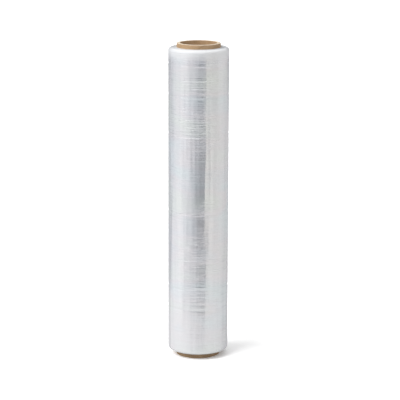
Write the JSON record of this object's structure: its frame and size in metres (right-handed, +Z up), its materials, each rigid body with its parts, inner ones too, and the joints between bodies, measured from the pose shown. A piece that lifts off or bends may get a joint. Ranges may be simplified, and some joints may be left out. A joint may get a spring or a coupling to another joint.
{
  "type": "stretch wrap roll",
  "caption": "Clear stretch film wound on a spiral paper core that stands out of the film at both ends, for wrapping loads by hand or on a dispenser.",
  "frame": {"origin": "on the roll's axis, at the core's lower end, where the roll stands", "axes": "+Z up along the roll's axis; the front faces -Y and +X is to its right"},
  "size_m": [0.0844, 0.0843, 0.4437],
  "materials": {
    "core_board": "plain brown board, cut ends paler",
    "clear_film": "clear film wound many layers deep, silvery and glossy, with soft bands"
  },
  "bodies": {
    "root": {"cardboard_core": "core_board", "film_roll": "clear_film"}
  },
  "joints": []
}
